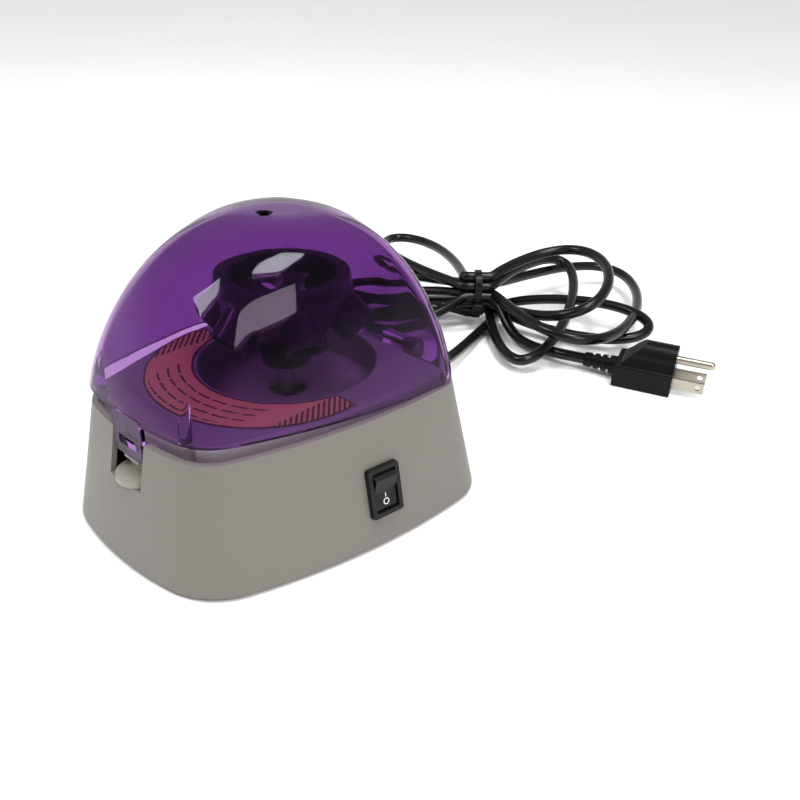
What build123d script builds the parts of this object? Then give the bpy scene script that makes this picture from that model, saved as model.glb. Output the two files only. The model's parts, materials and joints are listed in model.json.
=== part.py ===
"""Bench-top microcentrifuge with a domed lid, a six-place rotor and a mains cord.

Millimetres. +Z is up and z = 0 is the bench. -Y is the front, where the latch is,
and the lid hinges at +Y. The origin is the middle of the housing's footprint.
The model stands with its lid a few degrees ajar, so that the closed lid is the
hinge's lower limit.
"""

import os
from math import asin, atan2, cos, pi, radians, sin, sqrt, tan

from build123d import *

os.makedirs("parts", exist_ok=True)

# ---------------------------------------------------------------- driving sizes
# Housing outline at its foot: four large arcs with rounded corners
HALF_WIDTH = 76.9
FRONT_Y = -78.0
BACK_Y = 78.0
WIDEST_Y = 53.0
SIDE_RADIUS = 290.0
FRONT_RADIUS = 160.0
BACK_RADIUS = 960.0
FRONT_CORNER = 34.0
BACK_CORNER = 23.0

FOOT_HEIGHT = 2.0
LIP_Z = 56.5
LIP_INSET = 12.4            # how far the walls lean in between foot and lip
WALL = 2.5
LEDGE_WIDTH = 3.5
LEDGE_THICK = 2.0
LEDGE_TOP_Z = 50.5
GAP = 0.3                   # clearance between pieces that sit beside each other
RUN = 0.05                  # radial clearance of a running pin or shaft
PAST = 1.0                  # how far a cut starts or ends beyond the face it cuts
NOTCH_DEPTH = 16.0
NOTCH_START = 10.0          # in front of the lip
EAR_FACE_DROP = 5.0         # straight edge of a hinge ear below the pin
EAR_ARM_DROP = 18.0         # where an ear's arm meets the wall, below the pin

# Deck and well
DECK_Z = 61.0
DECK_THICK = 2.4
DECK_EDGE = 1.3             # bevel around the raised deck
WELL_EDGE = 1.0             # rounding of the well's rim
LATCH_ROOM = 1.4            # clear space behind the notch, past the deck's groove
LATCH_ROOM_TOP = 1.5        # its height is this much less than the deck's drop to the ledge
GROOVE = 3.2                # between the housing wall and the raised deck
ROTOR_Y = 17.0
WELL_RADIUS = 40.2
WELL_FLOOR_Z = 46.0
WELL_HOLE_RADIUS = 9.0
POST_RADIUS = 4.5
POST_SPOTS = [(-34.0, -44.0), (34.0, -44.0), (-51.0, 44.0), (51.0, 44.0)]

# Bottom plate, feet and screws
PLATE_THICK = 2.4
SLOT_COUNT = 5              # cooling slots in the plate
SLOT_PITCH = 7.0
SLOT_LENGTH = 34.0
SLOT_BREADTH = 3.0
PAD_EDGE = 0.6
PAD_BARB = 0.9              # how far a foot's barb stands out from its stem
PAD_BARB_HEIGHT = 1.4
PAD_RADIUS = 7.0
PAD_SPOTS = {
    "foot_front_left": (-38.0, -57.0),
    "foot_front_right": (38.0, -57.0),
    "foot_rear_left": (-58.0, 59.0),
    "foot_rear_right": (58.0, 59.0),
}
PAD_STEM_RADIUS = 3.0
SCREW_RADIUS = 1.5
HEAD_RECESS = 0.1           # a screw head sits this far inside the plate
SCREW_LENGTH = 12.0
SCREW_HEAD_RADIUS = 2.8
SCREW_HEAD_THICK = 1.6

# Lid: a dome on the lip's outline that rounds off towards the top
LID_GAP = 0.5               # between the closed lid's edge and the lip
LID_WALL = 2.2
LID_RISE = 69.4
DOME_TOP_RADIUS = 45.2
DOME_TOP_Y = 15.5
DOME_SHRINK_POWER = 0.447   # how the dome draws in towards its top
DOME_BLEND_POWER = 1.13     # how it turns round towards its top
DOME_RISE_POWER = 0.934
DOME_POINTS = 40
DOME_LEVELS = 12
DOME_LAST_TURN = 0.98
LID_AJAR = 3.0              # degrees open at rest
VENT_RADIUS = 2.1
VENT_SINK_RADIUS = 4.0
VENT_SINK_DEPTH = 0.9
VENT_Y = 5.5

# Hinge behind the lip
HINGE_Y = 72.0
HINGE_Z = 58.0
HINGE_X = 21.0
HINGE_EAR_RADIUS = 3.6
KNUCKLE_WIDTH = 13.0
KNUCKLE_DEPTH = 0.9         # share of the lid's wall that a knuckle runs into
KNUCKLE_RISE = 3.0          # its web meets the dome this far above the boss
KNUCKLE_STEP = 1.2          # its web clears the back wall's lip by this
EAR_THICK = 3.0
HINGE_PIN_RADIUS = 1.25

# Posts inside the lid's front corners, with the bumpers under them
LID_POST_X = 29.5
LID_POST_Y = -57.8
LID_POST_RADIUS = 2.4
BUMPER_RADIUS = 1.9
BUMPER_LENGTH = 3.0
BUMPER_EDGE = 0.8
POCKET_CLEAR = 0.6          # around a post, in the deck

# Lid tongue, its slot, and the latch that hooks into it
TONGUE_WIDTH = 19.5
TONGUE_ROOT = 2.0           # how far it runs up into the dome
TONGUE_CORNER = 2.0
TONGUE_THICK = 2.2
TONGUE_DROP = 17.0          # below the closed lid's edge
TONGUE_BAR = 4.4            # solid strip under the slot
SLOT_HEIGHT = 4.0
SLOT_WIDTH = 12.0
NOTCH_WIDTH = 21.6
NOTCH_FLOOR_Z = 36.0
TAB_TOP_Z = 38.6
TAB_THICK = 2.3
TAB_RADIUS = 10.4
TAB_PROUD = 2.6             # how far the tab stands out of the wall
LATCH_PIVOT_Z = 18.0
LATCH_PIN_RADIUS = 1.5
LATCH_PIN_LENGTH = 24.0
LATCH_ARM_WIDTH = 11.0
LATCH_ARM_TOP = 1.0         # above the hook
LATCH_BITE = 0.5            # how far the hook and the tab run into the arm
HOOK_SIDE_CLEAR = 1.0       # on each side in the tongue's slot
HOOK_NOSE = 0.6             # height of the hook's blunt nose
LATCH_BASE_LENGTH = 12.0
LATCH_BASE_THICK = 2.0
LATCH_ARM_THICK = 3.0
LATCH_ARM_GAP = 0.5         # between the closed tongue and the arm
LATCH_BOSS_RADIUS = 3.6
LATCH_EAR_THICK = 2.0
HOOK_HEIGHT = 1.9
HOOK_REACH = 2.2            # how far the hook goes through the slot
HOOK_CLEAR = 0.3

# Rotor, shaft and motor
ROTOR_RIM_Z = 102.7
ROTOR_RIM_RADIUS = 30.0
ROTOR_RIM_HEIGHT = 5.0      # upright part of the rim
ROTOR_FLARE_HEIGHT = 18.0   # from the rim down to where the bowl turns in
ROTOR_FLARE_INSET = 2.0
ROTOR_WAIST_DROP = 8.0      # from the cup's floor down to the hub's waist
ROTOR_BEVEL = 1.0
CUP_BEND_DEPTH = 9.0        # from the rim down to where the hollow turns in
TUBE_START = 4.0            # how far a sleeve starts above its mouth
TUBE_CLEAR = 12.0           # how far a tube's hole is cut above its mouth
ROTOR_CUP_RADIUS = 23.6
ROTOR_BOTTOM_Z = 60.5
ROTOR_HUB_RADIUS = 11.0
CUP_DEPTH = 22.0
ROTOR_WALL = 3.4
TUBE_COUNT = 6
TUBE_HOLE_RADIUS = 5.6
TUBE_TILT = 45.0            # degrees from the spindle
TUBE_MOUTH_RADIUS = 18.5
TUBE_MOUTH_Z = 94.0
SLEEVE_LENGTH = 20.6
FIRST_TUBE_ANGLE = 35.0
KNOB_RADIUS = 6.5
KNOB_HEIGHT = 7.0
KNOB_SIDES = 12
KNOB_EDGE = 1.0
SHAFT_RADIUS = 3.0
SHAFT_TOP_Z = 76.0
MOTOR_RADIUS = 17.5
MOTOR_BOTTOM_Z = 8.6
MOTOR_CAP_THICK = 4.0
BEARING_RADIUS = 6.5
BEARING_HEIGHT = 4.0
BRACKET_THICK = 2.0
BRACKET_SIZE = 50.0
BRACKET_CORNER = 6.0
BRACKET_DROP = 5.0          # from the cup's underside to the bracket
ISOLATOR_NECK = 1.5         # groove that holds an isolator in the bracket
ISOLATOR_FOOT = 1.5         # thickness of its lower flange
MOTOR_CAP_INSET = 1.0
SHAFT_FOOT = 1.7            # from the motor's underside to the shaft's end
SHAFT_SOCKET = 1.5          # from the motor's underside to the socket's floor
MOTOR_SCREW_REACH = 6.0
ISOLATOR_SPACING = 40.0
ISOLATOR_RADIUS = 4.5
MOTOR_SCREW_SPACING = 25.0

# Rocker switch in the right wall
SWITCH_Y = 9.3
SWITCH_Z = 25.8
BEZEL_WIDTH = 16.5
BEZEL_HEIGHT = 23.1
BEZEL_PROUD = 2.2
BEZEL_SEAT = 0.15           # between the bezel and the curved wall
BEZEL_CORNER = 1.6
BEZEL_DRAFT = 8             # degrees that its sides lean in
SWITCH_FLOOR = 1.6          # thickness behind the rocker
ROCKER_END_DROP = 1.7       # from the ends of its faces to its full reach
TERMINAL_SEAT = 0.05        # how far the terminals run into the body
TERMINAL_SPACING = 8.0
SWITCH_BODY_WIDTH = 13.6
SWITCH_BODY_HEIGHT = 20.6
SWITCH_BODY_DEPTH = 15.0
ROCKER_WIDTH = 11.0
ROCKER_REACH = 8.8          # from the pivot to the rocker's rounded ends
ROCKER_CLEAR = 0.35
ROCKER_TILT = 11.0          # degrees either side of level
ROCKER_PIVOT = 2.0          # below the wall's face
ROCKER_VALLEY = 1.4         # above the wall's face
ROCKER_PIN_RADIUS = 1.0
TERMINAL_WIDTH = 4.8
TERMINAL_THICK = 0.8
TERMINAL_LENGTH = 8.0

# Mains cord
CORD_DIAMETER = 6.5
CORD_EXIT_X = 2.0
CORD_EXIT_Z = 18.0
RELIEF_LENGTH = 29.0
RELIEF_RADIUS = 6.0
RELIEF_TIP_RADIUS = 4.2
RELIEF_NECK_RADIUS = RELIEF_TIP_RADIUS + 0.75
RELIEF_INNER = (-6.5, 1.8)  # where its inner collar starts, and how thick it is
RELIEF_NECK = (-5.0, 8.0)
RELIEF_OUTER = (1.9, 2.4)
RELIEF_INNER_PROUD = 0.8    # how far the collars stand out from the sleeve
RELIEF_OUTER_PROUD = 1.5
RELIEF_SLEEVE_START = 4.0
PLUG_X = 97.65
PLUG_Y = 223.2
PLUG_TURN = 18.44           # degrees, the way that the blades point
BLADE_Z = 7.0
BLADE_HOLE_INSET = 3.5      # from a blade's tip
BLADE_HOLE_RADIUS = 1.6
PLUG_CORNER = 1.6
PLUG_SHOULDER = 2.0         # the arch starts this far below the side face's top
PLUG_SWEEP_END = 3.0        # its sweep ends this far from the boot
BOOT_GROOVES = 3
BOOT_FIRST_GROOVE = 4.0
BOOT_GROOVE_PITCH = 4.5
BOOT_GROOVE_WIDTH = 1.8
BOOT_GROOVE_DEPTH = 0.6     # below the boot's narrow end
GROUND_TIP = 2.0            # rounding of the ground pin's tip
ARCH_DROP = 0.5             # the arch's centre below the ground pin's
BLADE_SPACING = 12.7
BLADE_LENGTH = 17.5
BLADE_HEIGHT = 6.35
BLADE_THICK = 1.5
GROUND_RISE = 11.9
GROUND_RADIUS = 2.4
GROUND_LENGTH = 21.0
PLUG_LENGTH = 33.0
PLUG_WIDTH = 25.5
PLUG_SIDE_HEIGHT = 14.0
PLUG_ARCH_RADIUS = 8.6
BOOT_LENGTH = 19.0
BOOT_RADIUS = 5.6
BOOT_Z = 7.6

# Route of the cord where it isn't coiled
LEAD_ROUTE = [
    (2.0, 103.36, 18.0),
    (2.0, 121.0, 18.0),
    (-5.0, 144.0, 12.0),
    (-15.0, 171.0, 7.0),
    (-24.0, 199.0, 4.2),
    (-32.0, 226.0, 3.6),
]
TAIL_ROUTE = [
    (48.32, 206.75, 7.6),
    (33.14, 201.69, 7.6),
    (15.0, 202.5, 4.6),
    (-6.0, 208.0, 4.4),
]
HANK_OUTLINE = [
    (-30.0, 203.0), (-50.0, 190.0), (-78.0, 172.0), (-112.0, 164.0), (-146.0, 178.0),
    (-160.0, 214.0), (-158.0, 262.0), (-136.0, 280.0), (-104.0, 264.0), (-72.0, 240.0),
    (-50.0, 225.0), (-58.0, 262.0), (-62.0, 300.0), (-46.0, 344.0), (-10.0, 354.0),
    (26.0, 334.0), (52.0, 300.0), (72.0, 262.0), (66.0, 238.0), (44.0, 226.0),
    (34.0, 180.0), (20.0, 168.0), (2.0, 176.0), (-18.0, 196.0),
]
HANK_LOOP = [
    (-26.0, 219.0), (-18.0, 204.0), (0.0, 180.0), (20.0, 170.0), (30.0, 182.0),
    (32.0, 232.0), (8.0, 262.0), (-22.0, 246.0),
]
HANK_HEIGHT = 10.0
HANK_LOOP_HEIGHT = 34.0
HANK_WAIST_LENGTH = 26.0
TIE_SPOT = (-40.0, 214.0)
TIE_TURN = 42.0             # degrees, the way that the bundle runs
TIE_BUNDLE_WIDTH = 17.0
TIE_BUNDLE_HEIGHT = 29.0
TIE_LIFT = 5.0              # the tie hangs clear of the bench, over the lead
TIE_WIDTH = 4.6
TIE_THICK = 1.3
TIE_CORNER = 7.0
TIE_HEAD_DROP = 6.0         # from the bundle's middle down to the head's
TIE_HEAD = 7.5


# ---------------------------------------------------------------- helpers
def wall_inset(z):
    """How far the housing's outer face has leaned in at height z."""
    return LIP_INSET * (z - FOOT_HEIGHT) / (LIP_Z - FOOT_HEIGHT)


def outline(inset, z):
    """The housing's outline at height z, moved in by inset: every arc shrinks by it."""
    side, front, back = SIDE_RADIUS - inset, FRONT_RADIUS - inset, BACK_RADIUS - inset
    with BuildSketch(Plane.XY.offset(z)) as sketch:
        with Locations((HALF_WIDTH - SIDE_RADIUS, WIDEST_Y)):
            Circle(side)
        with Locations((SIDE_RADIUS - HALF_WIDTH, WIDEST_Y)):
            Circle(side, mode=Mode.INTERSECT)
        with Locations((0, FRONT_Y + FRONT_RADIUS)):
            Circle(front, mode=Mode.INTERSECT)
        with Locations((0, BACK_Y - BACK_RADIUS)):
            Circle(back, mode=Mode.INTERSECT)
        fillet(sketch.vertices().group_by(Axis.Y)[0], FRONT_CORNER - inset)
        fillet(sketch.vertices().group_by(Axis.Y)[-1], BACK_CORNER - inset)
    return sketch.sketch


def wall_x(y, z):
    """x of the right wall's outer face."""
    reach = sqrt((SIDE_RADIUS - wall_inset(z)) ** 2 - (y - WIDEST_Y) ** 2)
    return HALF_WIDTH - SIDE_RADIUS + reach


def front_y(z):
    """y of the front wall's outer face on the centre line."""
    return FRONT_Y + wall_inset(z)


def back_y(z):
    """y of the back wall's outer face on the centre line."""
    return BACK_Y - wall_inset(z)


def bend_radii(route):
    """The largest arc at each corner of a route that its two runs leave room for."""
    points = [Vector(point) for point in route]
    radii = []
    for before, corner, after in zip(points, points[1:], points[2:]):
        run_in, run_out = corner - before, after - corner
        half_turn = radians(run_in.get_angle(run_out)) / 2
        radii.append(0.45 * min(run_in.length, run_out.length) / tan(half_turn))
    return radii


def save(part, name):
    part.label = name
    export_step(part, f"parts/{name}.step")


# The rocker switch sits square to the right wall, which leans back and curves
switch_lean = atan2(LIP_INSET, LIP_Z - FOOT_HEIGHT)
switch_turn = asin((SWITCH_Y - WIDEST_Y) / (SIDE_RADIUS - wall_inset(SWITCH_Z)))
switch_face = Plane(
    origin=(wall_x(SWITCH_Y, SWITCH_Z), SWITCH_Y, SWITCH_Z),
    x_dir=(-sin(switch_turn), cos(switch_turn), 0),
    z_dir=(
        cos(switch_lean) * cos(switch_turn),
        cos(switch_lean) * sin(switch_turn),
        sin(switch_lean),
    ),
)

# ---------------------------------------------------------------- housing
with BuildPart() as base_housing:
    loft([outline(0, FOOT_HEIGHT), outline(LIP_INSET, LIP_Z)])
    loft(
        [
            outline(wall_inset(FOOT_HEIGHT - PAST) + WALL, FOOT_HEIGHT - PAST),
            outline(wall_inset(LIP_Z + PAST) + WALL, LIP_Z + PAST),
        ],
        mode=Mode.SUBTRACT,
    )
    # ledge that carries the deck
    ledge_low = LEDGE_TOP_Z - LEDGE_THICK
    ledge_ring = outline(wall_inset(LEDGE_TOP_Z) + WALL / 2, ledge_low)
    ledge_ring -= outline(wall_inset(ledge_low) + WALL + LEDGE_WIDTH, ledge_low)
    extrude(ledge_ring, amount=LEDGE_THICK)
    # notch for the tongue and the latch
    with BuildSketch(Plane.XY.offset(NOTCH_FLOOR_Z)):
        with Locations((0, front_y(LIP_Z) + NOTCH_DEPTH / 2 - NOTCH_START)):
            Rectangle(NOTCH_WIDTH, NOTCH_DEPTH)
    extrude(amount=LIP_Z - NOTCH_FLOOR_Z + PAST, mode=Mode.SUBTRACT)
    # opening for the rocker switch
    with BuildSketch(switch_face.offset(PAST)):
        Rectangle(SWITCH_BODY_WIDTH + 2 * GAP, SWITCH_BODY_HEIGHT + 2 * GAP)
    extrude(amount=-PAST - 2 * WALL, mode=Mode.SUBTRACT)
    # hole for the cord's strain relief
    with BuildSketch(Plane.XZ.offset(-back_y(CORD_EXIT_Z) - PAST)):
        with Locations((CORD_EXIT_X, CORD_EXIT_Z)):
            Circle(RELIEF_NECK_RADIUS + RUN)
    extrude(amount=PAST + 3 * WALL, mode=Mode.SUBTRACT)
    # ears that hold the hinge pins, on arms that grow out of the back wall
    arm_foot = HINGE_Z - EAR_ARM_DROP
    for side in (-1, 1):
        for end in (-1, 1):
            ear_x = side * HINGE_X + end * (KNUCKLE_WIDTH / 2 + GAP + EAR_THICK / 2)
            with BuildSketch(Plane.YZ.offset(ear_x - EAR_THICK / 2)):
                with Locations((HINGE_Y, HINGE_Z)):
                    Circle(HINGE_EAR_RADIUS)
                with BuildLine():
                    Polyline(
                        (HINGE_Y + HINGE_EAR_RADIUS, HINGE_Z),
                        (HINGE_Y + HINGE_EAR_RADIUS, HINGE_Z - EAR_FACE_DROP),
                        (back_y(arm_foot) - WALL / 2, arm_foot),
                        (back_y(LIP_Z) - WALL, LIP_Z - PAST),
                        (HINGE_Y - HINGE_EAR_RADIUS, HINGE_Z),
                        close=True,
                    )
                make_face()
                with Locations((HINGE_Y, HINGE_Z)):
                    Circle(HINGE_PIN_RADIUS, mode=Mode.SUBTRACT)
            extrude(amount=EAR_THICK)
save(base_housing.part, "base_housing")

# ---------------------------------------------------------------- bottom plate
plate_top = FOOT_HEIGHT + PLATE_THICK
plate_inset = wall_inset(plate_top) + WALL + GAP
with BuildPart() as bottom_plate:
    extrude(outline(plate_inset, FOOT_HEIGHT), amount=PLATE_THICK)
    with BuildSketch(Plane.XY.offset(FOOT_HEIGHT)):
        with Locations(*PAD_SPOTS.values()):
            Circle(PAD_STEM_RADIUS)
        with Locations(*POST_SPOTS):
            Circle(SCREW_RADIUS + GAP)
    extrude(amount=PLATE_THICK, mode=Mode.SUBTRACT)
    with BuildSketch(Plane.XY.offset(FOOT_HEIGHT)):
        with Locations(*POST_SPOTS):
            Circle(SCREW_HEAD_RADIUS + GAP)
    extrude(amount=SCREW_HEAD_THICK, mode=Mode.SUBTRACT)
    # cooling slots under the motor
    with BuildSketch(Plane.XY.offset(FOOT_HEIGHT)):
        with GridLocations(0, SLOT_PITCH, 1, SLOT_COUNT):
            SlotOverall(SLOT_LENGTH, SLOT_BREADTH)
    extrude(amount=PLATE_THICK, mode=Mode.SUBTRACT)
save(bottom_plate.part, "bottom_plate")

for name, spot in PAD_SPOTS.items():
    with BuildPart() as foot:
        with BuildSketch(Plane.XY):
            with Locations(spot):
                Circle(PAD_RADIUS)
        extrude(amount=FOOT_HEIGHT)
        fillet(foot.edges().group_by(Axis.Z)[0], PAD_EDGE)
        with BuildSketch(Plane.XY.offset(FOOT_HEIGHT)):
            with Locations(spot):
                Circle(PAD_STEM_RADIUS)
        extrude(amount=PLATE_THICK)
        with BuildSketch(Plane.XY.offset(plate_top)):
            with Locations(spot):
                Circle(PAD_STEM_RADIUS + PAD_BARB)
        extrude(amount=PAD_BARB_HEIGHT)
    save(foot.part, name)

# ---------------------------------------------------------------- deck and well
flange_top = LEDGE_TOP_Z + LEDGE_THICK
lid_post_spots = [(-LID_POST_X, LID_POST_Y), (LID_POST_X, LID_POST_Y)]
pocket_radius = LID_POST_RADIUS + POCKET_CLEAR
plateau_inset = LIP_INSET + WALL + GROOVE
post_low = plate_top
with BuildPart() as top_deck:
    extrude(outline(wall_inset(flange_top) + WALL + GAP, LEDGE_TOP_Z), amount=LEDGE_THICK)
    extrude(outline(plateau_inset, flange_top), amount=DECK_Z - DECK_EDGE - flange_top)
    loft([outline(plateau_inset, DECK_Z - DECK_EDGE), outline(plateau_inset + DECK_EDGE, DECK_Z)])
    with BuildSketch(Plane.XY.offset(LEDGE_TOP_Z)):
        add(outline(plateau_inset + DECK_THICK, LEDGE_TOP_Z))
        with Locations(*lid_post_spots):
            Circle(pocket_radius + DECK_THICK, mode=Mode.SUBTRACT)
    extrude(amount=DECK_Z - DECK_THICK - LEDGE_TOP_Z, mode=Mode.SUBTRACT)
    with BuildSketch(Plane.XY.offset(flange_top)):
        with Locations(*lid_post_spots):
            Circle(pocket_radius)
    extrude(amount=DECK_Z, mode=Mode.SUBTRACT)
    # room for the well's cup
    with BuildSketch(Plane.XY.offset(LEDGE_TOP_Z - PAST)):
        with Locations((0, ROTOR_Y)):
            Circle(WELL_RADIUS + DECK_THICK)
    extrude(amount=DECK_Z - DECK_THICK - LEDGE_TOP_Z + PAST, mode=Mode.SUBTRACT)
    with BuildSketch(Plane.XY.offset(LEDGE_TOP_Z)):
        with Locations((0, ROTOR_Y)):
            Circle(WELL_RADIUS)
    extrude(amount=DECK_Z, mode=Mode.SUBTRACT)
    fillet(
        top_deck.edges().filter_by(GeomType.CIRCLE).filter_by(
            lambda edge: abs(edge.radius - WELL_RADIUS) < RUN and edge.center().Z > DECK_Z - PAST
        ),
        WELL_EDGE,
    )
    # posts that the bottom screws clamp
    with BuildSketch(Plane.XY.offset(post_low)):
        with Locations(*POST_SPOTS):
            Circle(POST_RADIUS)
    extrude(amount=DECK_Z - DECK_THICK - post_low)
    with BuildSketch(Plane.XY.offset(post_low)):
        with Locations(*POST_SPOTS):
            Circle(SCREW_RADIUS)
    extrude(amount=SCREW_LENGTH, mode=Mode.SUBTRACT)
    # room for the latch behind the notch
    with BuildSketch(Plane.XY.offset(LEDGE_TOP_Z - PAST)):
        with Locations((0, front_y(LIP_Z))):
            Rectangle(NOTCH_WIDTH, 2 * (WALL + GROOVE + LATCH_ROOM))
    extrude(amount=DECK_Z - DECK_THICK - LEDGE_TOP_Z - LATCH_ROOM_TOP, mode=Mode.SUBTRACT)
save(top_deck.part, "top_deck")

with BuildPart() as well_cup:
    cup_low = WELL_FLOOR_Z - DECK_THICK
    with BuildSketch(Plane.XY.offset(cup_low)):
        with Locations((0, ROTOR_Y)):
            Circle(WELL_RADIUS + DECK_THICK)
    extrude(amount=DECK_Z - DECK_THICK - cup_low)
    with BuildSketch(Plane.XY.offset(WELL_FLOOR_Z)):
        with Locations((0, ROTOR_Y)):
            Circle(WELL_RADIUS)
    extrude(amount=DECK_Z, mode=Mode.SUBTRACT)
    with BuildSketch(Plane.XY.offset(cup_low)):
        with Locations((0, ROTOR_Y)):
            Circle(WELL_HOLE_RADIUS)
    extrude(amount=2 * DECK_THICK, mode=Mode.SUBTRACT)
save(well_cup.part, "well_cup")

with BuildPart() as housing_screws:
    head_low = FOOT_HEIGHT + HEAD_RECESS
    with BuildSketch(Plane.XY.offset(head_low)):
        with Locations(*POST_SPOTS):
            Circle(SCREW_HEAD_RADIUS)
    extrude(amount=SCREW_HEAD_THICK - HEAD_RECESS)
    with BuildSketch(Plane.XY.offset(FOOT_HEIGHT + SCREW_HEAD_THICK)):
        with Locations(*POST_SPOTS):
            Circle(SCREW_RADIUS)
    extrude(amount=SCREW_LENGTH - SCREW_HEAD_THICK)
save(housing_screws.part, "housing_screws")

# Crescent label on the deck, around the front of the well
LABEL_THICK = 0.25
LABEL_INNER = WELL_RADIUS + 1.6
LABEL_OUTER = 52.5
LABEL_SHIFT = 12.0          # the outer circle sits this much further forward
LABEL_END_Y = ROTOR_Y - 8.0
with BuildPart() as deck_label:
    with BuildSketch(Plane.XY.offset(DECK_Z)):
        with Locations((0, ROTOR_Y - LABEL_SHIFT)):
            Circle(LABEL_OUTER)
        with Locations((0, ROTOR_Y)):
            Circle(LABEL_INNER, mode=Mode.SUBTRACT)
        with Locations((0, LABEL_END_Y + LABEL_OUTER)):
            Rectangle(2 * LABEL_OUTER, 2 * LABEL_OUTER, mode=Mode.SUBTRACT)
    extrude(amount=LABEL_THICK)
save(deck_label.part, "deck_label")

# ---------------------------------------------------------------- motor and its mount
bracket_z = WELL_FLOOR_Z - DECK_THICK - BRACKET_DROP
with BuildPart() as motor_bracket:
    with BuildSketch(Plane.XY.offset(bracket_z - BRACKET_THICK)):
        with Locations((0, ROTOR_Y)):
            RectangleRounded(BRACKET_SIZE, BRACKET_SIZE, BRACKET_CORNER)
            Circle(BEARING_RADIUS + GAP, mode=Mode.SUBTRACT)
            with GridLocations(ISOLATOR_SPACING, ISOLATOR_SPACING, 2, 2):
                Circle(ISOLATOR_RADIUS - ISOLATOR_NECK, mode=Mode.SUBTRACT)
            with PolarLocations(MOTOR_SCREW_SPACING / 2, 2):
                Circle(SCREW_RADIUS, mode=Mode.SUBTRACT)
    extrude(amount=BRACKET_THICK)
save(motor_bracket.part, "motor_bracket")

with BuildPart() as motor_isolators:
    with BuildSketch(Plane.XY.offset(bracket_z)):
        with Locations((0, ROTOR_Y)):
            with GridLocations(ISOLATOR_SPACING, ISOLATOR_SPACING, 2, 2):
                Circle(ISOLATOR_RADIUS)
    extrude(amount=WELL_FLOOR_Z - DECK_THICK - bracket_z)
    with BuildSketch(Plane.XY.offset(bracket_z - BRACKET_THICK)):
        with Locations((0, ROTOR_Y)):
            with GridLocations(ISOLATOR_SPACING, ISOLATOR_SPACING, 2, 2):
                Circle(ISOLATOR_RADIUS - ISOLATOR_NECK)
    extrude(amount=BRACKET_THICK)
    with BuildSketch(Plane.XY.offset(bracket_z - BRACKET_THICK - ISOLATOR_FOOT)):
        with Locations((0, ROTOR_Y)):
            with GridLocations(ISOLATOR_SPACING, ISOLATOR_SPACING, 2, 2):
                Circle(ISOLATOR_RADIUS)
    extrude(amount=ISOLATOR_FOOT)
save(motor_isolators.part, "motor_isolators")

motor_top = bracket_z - BRACKET_THICK
with BuildPart() as motor_can:
    with BuildSketch(Plane.XY.offset(MOTOR_BOTTOM_Z + MOTOR_CAP_THICK)):
        with Locations((0, ROTOR_Y)):
            Circle(MOTOR_RADIUS)
    extrude(amount=motor_top - MOTOR_BOTTOM_Z - MOTOR_CAP_THICK)
    with BuildSketch(Plane.XY.offset(MOTOR_BOTTOM_Z)):
        with Locations((0, ROTOR_Y)):
            Circle(SHAFT_RADIUS + RUN)
            with PolarLocations(MOTOR_SCREW_SPACING / 2, 2):
                Circle(SCREW_RADIUS)
    extrude(amount=motor_top, mode=Mode.SUBTRACT)
save(motor_can.part, "motor_can")

with BuildPart() as motor_end_cap:
    with BuildSketch(Plane.XY.offset(MOTOR_BOTTOM_Z)):
        with Locations((0, ROTOR_Y)):
            Circle(MOTOR_RADIUS - MOTOR_CAP_INSET)
    extrude(amount=MOTOR_CAP_THICK)
    fillet(motor_end_cap.edges().group_by(Axis.Z)[0], MOTOR_CAP_INSET)
    with BuildSketch(Plane.XY.offset(MOTOR_BOTTOM_Z + SHAFT_SOCKET)):
        with Locations((0, ROTOR_Y)):
            Circle(SHAFT_RADIUS + RUN)
    extrude(amount=MOTOR_CAP_THICK, mode=Mode.SUBTRACT)
save(motor_end_cap.part, "motor_end_cap")

with BuildPart() as motor_bearing:
    with BuildSketch(Plane.XY.offset(motor_top)):
        with Locations((0, ROTOR_Y)):
            Circle(BEARING_RADIUS)
            Circle(SHAFT_RADIUS + RUN, mode=Mode.SUBTRACT)
    extrude(amount=BEARING_HEIGHT)
save(motor_bearing.part, "motor_bearing")

with BuildPart() as motor_screws:
    with BuildSketch(Plane.XY.offset(bracket_z)):
        with Locations((0, ROTOR_Y)):
            with PolarLocations(MOTOR_SCREW_SPACING / 2, 2):
                Circle(SCREW_HEAD_RADIUS)
    extrude(amount=SCREW_HEAD_THICK)
    with BuildSketch(Plane.XY.offset(bracket_z - BRACKET_THICK - MOTOR_SCREW_REACH)):
        with Locations((0, ROTOR_Y)):
            with PolarLocations(MOTOR_SCREW_SPACING / 2, 2):
                Circle(SCREW_RADIUS)
    extrude(amount=BRACKET_THICK + MOTOR_SCREW_REACH)
save(motor_screws.part, "motor_screws")

# ---------------------------------------------------------------- rotor
with BuildPart() as rotor_shaft:
    with BuildSketch(Plane.XY.offset(MOTOR_BOTTOM_Z + SHAFT_FOOT)):
        with Locations((0, ROTOR_Y)):
            Circle(SHAFT_RADIUS)
    extrude(amount=SHAFT_TOP_Z - MOTOR_BOTTOM_Z - SHAFT_FOOT)
save(rotor_shaft.part, "rotor_shaft")

tube_line = Vector(sin(radians(TUBE_TILT)), 0, -cos(radians(TUBE_TILT)))
sleeve_radius = TUBE_HOLE_RADIUS + ROTOR_WALL
cup_floor_z = ROTOR_RIM_Z - CUP_DEPTH
tube_angles = [FIRST_TUBE_ANGLE + index * 360 / TUBE_COUNT for index in range(TUBE_COUNT)]


def tube_plane(angle, back):
    """The plane across one tube hole, moved back up the hole from its mouth."""
    mouth = Vector(TUBE_MOUTH_RADIUS, 0, TUBE_MOUTH_Z) - tube_line * back
    return Plane(origin=mouth.rotate(Axis.Z, angle), z_dir=tube_line.rotate(Axis.Z, angle))


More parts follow.
